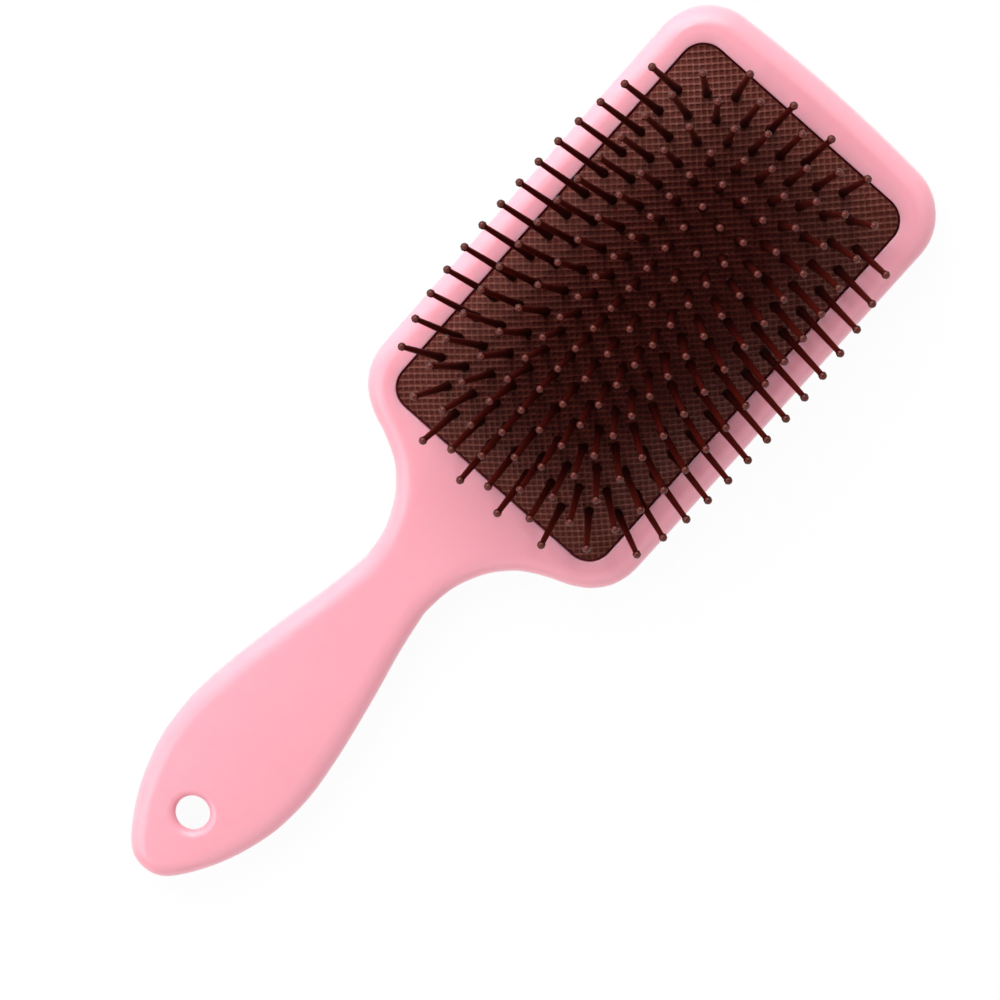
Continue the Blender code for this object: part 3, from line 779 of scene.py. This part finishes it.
def placePin(pattern, x, y):
    direction = pinDirection(x, y)
    side = Vector((1, 0, 0))
    side = (side - direction * side.dot(direction)).normalized()
    turned = Matrix((side, direction.cross(side), direction)).transposed().to_4x4()
    copy = pattern.copy()
    copy.data = pattern.data.copy()
    copy.data.transform(Matrix.Translation((x, y + recessY, crownZ(x, y))) @ turned)
    ballZ = crownZ(x, y) + direction.z * pins["length"]
    # Painted light: how high each corner stands on its ball, upwards in the scene, so the ball's top is
    # painted paler and its rim darker
    paintedLightHeights = copy.data.attributes.new("ballPaintedLight", "FLOAT", "POINT")
    for corner, value in zip(copy.data.vertices, paintedLightHeights.data):
        value.value = (corner.co.z - ballZ) / pins["ball"]
    bpy.context.scene.collection.objects.link(copy)
    return copy


def makePins():
    bodyOf = {}
    for name, nodes in frame["record"]["behaviour"]["bodies"].items():
        bodyOf.update({node: name for node in nodes})
    pattern = makePin()
    made = []
    for node, roots in pinGroups():
        copies = [placePin(pattern, x, y) for x, y in roots]
        deselectAll()
        for copy in copies:
            copy.select_set(True)
        bpy.context.view_layer.objects.active = copies[0]
        if len(copies) > 1:
            bpy.ops.object.join()
        group = newest("nylon_" + node)
        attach(group, bodyOf[node])
        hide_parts(node)
        made.append(group)
    makeActive(pattern)
    bpy.ops.object.delete()
    return made


pinPieces = makePins()
print("pins made:", len(pinPieces), "groups")


# The cushion's rubber

def cornerRound(x, y, inset):  # takes a square grid's corner to the cushion's round corner
    radius = cushionCorner - inset
    a = (abs(x) - (cushionHalfX - cushionCorner)) / radius
    b = (abs(y) - (cushionHalfY - cushionCorner)) / radius
    if a > 0 and b > 0:
        a, b = a * math.sqrt(1 - b * b / 2), b * math.sqrt(1 - a * a / 2)
        x = math.copysign(cushionHalfX - cushionCorner + radius * a, x)
        y = math.copysign(cushionHalfY - cushionCorner + radius * b, y)
    return x, y


def wayOut(x, y):  # the direction out over the nearest edge, and how far in from it a place stands
    a = abs(x) - (cushionHalfX - cushionCorner)
    b = abs(y) - (cushionHalfY - cushionCorner)
    if a > 0 and b > 0:
        reach = math.hypot(a, b)
        return Vector((math.copysign(a, x), math.copysign(b, y), 0)) / reach, cushionCorner - reach
    if a > b:
        return Vector((math.copysign(1, x), 0, 0)), cushionCorner - a
    return Vector((0, math.copysign(1, y), 0)), cushionCorner - b


def weaveHeight(x, y):  # the same hollows as in the rubber's material
    cosine, sine = math.cos(weave["turn"]), math.sin(weave["turn"])
    depth = -weave["depth"]
    for along, least in ((x * cosine + y * sine, weave["crossShare"]), (y * cosine - x * sine, 0.0)):
        apart = abs(along / weave["pitch"] - round(along / weave["pitch"]))
        depth *= least + (1 - least) * eased((apart - weave["threadShare"]) / weave["slopeShare"])
    return depth


def startPlace(place):  # where the crown ends and the shoulder begins, next to a place on the rim
    out, inside = wayOut(place.x, place.y)
    start = Vector((place.x, place.y, 0)) - out * (cushion["shoulder"] - inside)
    start.z = crownZ(start.x, start.y)
    return start, out


def onShoulder(place, share):  # along the round from the crown's own slope to upright
    start, out = startPlace(place)
    step = cushion["slopeStep"]
    fall = (crownZ(start.x - out.x * step, start.y - out.y * step) - start.z) / step
    slope = math.atan(max(fall, 0.0))
    radius = cushion["shoulder"] / (1 - math.sin(slope))
    angle = slope + (math.pi / 2 - slope) * share
    return (start + out * radius * (math.sin(angle) - math.sin(slope))
            - Vector((0, 0, radius * (math.cos(slope) - math.cos(angle)))))


def onRing(place, inset, height=None):  # without a height, on the underside of the crown
    start, out = startPlace(place)
    moved = start + out * (cushion["shoulder"] - inset)
    moved.z = crownZ(moved.x, moved.y) - cushion["wall"] if height is None else height
    return moved


def growRim(piece, move):  # extrudes the open edge into a new ring, and moves each of its corners
    startEdit(piece)
    pickEdges(piece, lambda edge: edge.is_boundary)
    bpy.ops.mesh.extrude_edges_move(TRANSFORM_OT_translate={"value": (0, 0, 0)})
    endEdit()
    for corner in piece.data.vertices:
        if corner.select:
            corner.co = move(corner.co)


def makeUnderside(pattern):
    under = pattern.copy()
    under.data = pattern.data.copy()
    bpy.context.scene.collection.objects.link(under)
    for corner in under.data.vertices:
        if wayOut(corner.co.x, corner.co.y)[1] < cushion["shoulder"] + nearness["touching"]:
            corner.co = onRing(corner.co, cushion["skirtWall"])
        else:
            corner.co.z -= cushion["wall"]
    startEdit(under)
    bpy.ops.mesh.flip_normals()
    endEdit()
    return under


def makeCushion():
    halfX = cushionHalfX - cushion["shoulder"]
    halfY = cushionHalfY - cushion["shoulder"]
    coarse = weave["pitch"] / math.sqrt(2)
    deselectAll()
    bpy.ops.mesh.primitive_grid_add(x_subdivisions=2 * round(halfX / coarse),
                                    y_subdivisions=2 * round(halfY / coarse), size=2)
    pad = newest("rubberCushion")
    for corner in pad.data.vertices:
        x, y = cornerRound(corner.co.x * halfX, corner.co.y * halfY, cushion["shoulder"])
        corner.co = (x, y, crownZ(x, y))
    under = makeUnderside(pad)

    # Over the shoulder, down the wall, round the lip, and up the skirt's inner side
    for step in range(1, cushion["shoulderSteps"] + 1):
        growRim(pad, lambda place: onShoulder(place, step / cushion["shoulderSteps"]))
    for inset, height in ((0, cushion["lipTop"]), (-cushion["lipReach"], cushion["lipTop"]),
                          (-cushion["lipReach"], cushion["skirtLow"]),
                          (cushion["skirtWall"], cushion["skirtLow"]), (cushion["skirtWall"], None)):
        growRim(pad, lambda place: onRing(place, inset, height))
    makeActive(pad)
    under.select_set(True)
    bpy.ops.object.join()
    startEdit(pad)
    bpy.ops.mesh.remove_doubles(threshold=cushion["weld"])
    pickFaces(pad, lambda face: face.normal.z > cushion["upward"] and all(
        wayOut(corner.co.x, corner.co.y)[1] > cushion["shoulder"] - nearness["touching"]
        and abs(corner.co.z - crownZ(corner.co.x, corner.co.y)) < nearness["level"]
        for corner in face.verts))
    bpy.ops.mesh.subdivide(number_cuts=cushion["fineCuts"])
    endEdit()
    for corner in pad.data.vertices:
        x, y, z = corner.co
        inside, top = wayOut(x, y)[1], crownZ(x, y)
        if inside > cushion["shoulder"] - nearness["touching"] and z > top - cushion["crownBand"]:
            share = clamped((inside - cushion["border"]) / cushion["fade"])
            corner.co.z = top + share * weaveHeight(x, y)
    pad.data.materials.append(makeWovenRubber())
    pad.data.materials.append(makeSmoothRubber())
    for face in pad.data.polygons:
        x, y, z = face.center
        woven = wayOut(x, y)[1] > cushion["border"] and face.normal.z > cushion["upward"]
        face.material_index = 0 if woven else 1
    pad.data.transform(Matrix.Translation((0, recessY, 0)))
    makeActive(pad)
    bpy.ops.object.shade_smooth_by_angle(angle=cushion["shadeAngle"])
    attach(pad, "brush")
    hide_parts("cushion")
    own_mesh(pad)
    return pad


rubberCushion = makeCushion()
print("cushion made:", len(rubberCushion.data.polygons), "faces")


# Stage, lights and camera

stage = {
    "size": 6.0, "floorZ": -0.0002, "floor": (0.80, 0.80, 0.80), "floorRough": 0.9,
    "shownWhite": 0.95, "shownShade": 0.05,
    "sky": [(0.10, (0.45, 0.45, 0.45)), (0.40, (0.82, 0.79, 0.79)), (0.70, (0.82, 0.79, 0.79)),
            (0.92, (0.06, 0.030, 0.028))],  # by height: sides, ring, ring's end, top
}


def makeFloor():
    deselectAll()
    bpy.ops.mesh.primitive_plane_add(size=stage["size"], location=(0, 0, stage["floorZ"]))
    floor = newest("paleFloor")
    applyPlace(floor)
    material, nodes, links, shader = newMaterial("paleFloor")
    shader.inputs["Base Color"].default_value = (*stage["floor"], 1)
    shader.inputs["Roughness"].default_value = stage["floorRough"]
    shade = addNode(nodes, "ShaderNodeBsdfDiffuse")
    shade.inputs["Color"].default_value = (*[stage["shownShade"]] * 3, 1)
    glow = addNode(nodes, "ShaderNodeEmission")
    glow.inputs["Strength"].default_value = stage["shownWhite"]
    shown = addNode(nodes, "ShaderNodeAddShader")
    links.new(shade.outputs["BSDF"], shown.inputs[0])
    links.new(glow.outputs["Emission"], shown.inputs[1])
    rays = addNode(nodes, "ShaderNodeLightPath")
    seen = rays.outputs["Is Camera Ray"]
    for kind in ("Is Glossy Ray", "Is Transmission Ray"):
        either = addNode(nodes, "ShaderNodeMath", operation="MAXIMUM")
        links.new(seen, either.inputs[0])
        links.new(rays.outputs[kind], either.inputs[1])
        seen = either.outputs["Value"]
    mix = addNode(nodes, "ShaderNodeMixShader")
    links.new(seen, mix.inputs["Fac"])
    links.new(shader.outputs["BSDF"], mix.inputs[1])
    links.new(shown.outputs["Shader"], mix.inputs[2])
    links.new(mix.outputs["Shader"], nodes["Material Output"].inputs["Surface"])
    floor.data.materials.append(material)


def makeWorld():
    world = bpy.data.worlds.new("paleStudio")
    bpy.context.scene.world = world
    world.use_nodes = True
    nodes, links = world.node_tree.nodes, world.node_tree.links
    light = nodes["Background"]
    place = addNode(nodes, "ShaderNodeTexCoord")
    height = addNode(nodes, "ShaderNodeSeparateXYZ")
    links.new(place.outputs["Generated"], height.inputs["Vector"])
    linkColours(nodes, links, height.outputs["Z"], light.inputs["Color"], stage["sky"])
    shown = addNode(nodes, "ShaderNodeBackground")
    shown.inputs["Color"].default_value = (1, 1, 1, 1)
    rays = addNode(nodes, "ShaderNodeLightPath")
    mix = addNode(nodes, "ShaderNodeMixShader")
    links.new(rays.outputs["Is Camera Ray"], mix.inputs["Fac"])
    links.new(light.outputs["Background"], mix.inputs[1])
    links.new(shown.outputs["Background"], mix.inputs[2])
    links.new(mix.outputs["Shader"], nodes["World Output"].inputs["Surface"])


lampAim = (0, 0.02, 0.01)
lamps = {
    "sideLamp": {"from": (-0.78, 0.52, 0.46), "away": 1.3, "size": 1.65, "watts": 12.2,
                 "colour": (1.0, 0.98, 0.965)},
    "upperLamp": {"from": (-0.55, 0.55, 0.63), "away": 1.3, "size": 1.20, "watts": 5.7,
                  "colour": (1.0, 0.98, 0.965)},
    "lowLamp": {"from": (-1.00, 0.10, 0.22), "away": 1.2, "size": 0.90, "watts": 2.8,
                "colour": (1.0, 0.98, 0.97)},
    "gripLamp": {"from": (-0.50, -0.82, 0.62), "away": 1.3, "size": 1.10, "watts": 5.5,
                 "colour": (1.0, 0.98, 0.965)},
    "highLamp": {"from": (-0.50, 0.18, 0.85), "away": 1.3, "size": 0.10, "watts": 2.0,
                 "colour": (1.0, 0.95, 0.92)},
    "fillLamp": {"from": (0.75, -0.45, 0.45), "away": 1.5, "size": 1.40, "watts": 3.0,
                 "colour": (1.0, 0.74, 0.78)},
}


def makeLamps():
    aim = Vector(lampAim)
    for name, lamp in lamps.items():
        place = aim + Vector(lamp["from"]).normalized() * lamp["away"]
        deselectAll()
        bpy.ops.object.light_add(type="AREA", location=place)
        made = bpy.context.object
        made.name = name
        made.data.shape = "DISK"
        made.data.size = lamp["size"]
        made.data.energy = lamp["watts"]
        made.data.color = lamp["colour"]
        made.rotation_euler = (aim - place).to_track_quat("-Z", "Y").to_euler()


view = {
    "place": (-0.0312, 0.1838, 1.0058), "right": (0.9994, 0.0036, 0.0358),
    "up": (0.0030, 0.9836, -0.1803), "roll": math.radians(41.6), "lens": 152.4, "sensor": 36.0,
    "nearest": 0.01,
}


def makeCamera():
    right = Vector(view["right"]).normalized()
    up = Vector(view["up"])
    up = (up - right * up.dot(right)).normalized()
    rolledRight = right * math.cos(view["roll"]) + up * math.sin(view["roll"])
    rolledUp = up * math.cos(view["roll"]) - right * math.sin(view["roll"])
    turned = Matrix((rolledRight, rolledUp, rolledRight.cross(rolledUp))).transposed().to_4x4()
    deselectAll()
    bpy.ops.object.camera_add()
    camera = bpy.context.object
    camera.name = "photoView"
    camera.matrix_world = Matrix.Translation(view["place"]) @ turned
    camera.data.lens = view["lens"]
    camera.data.sensor_width = view["sensor"]
    camera.data.clip_start = view["nearest"]
    bpy.context.scene.camera = camera


makeFloor()
makeWorld()
makeLamps()
makeCamera()
bpy.context.scene.view_settings.view_transform = "Standard"
print("stage, lamps and camera made")

deselectAll()
bpy.context.view_layer.update()
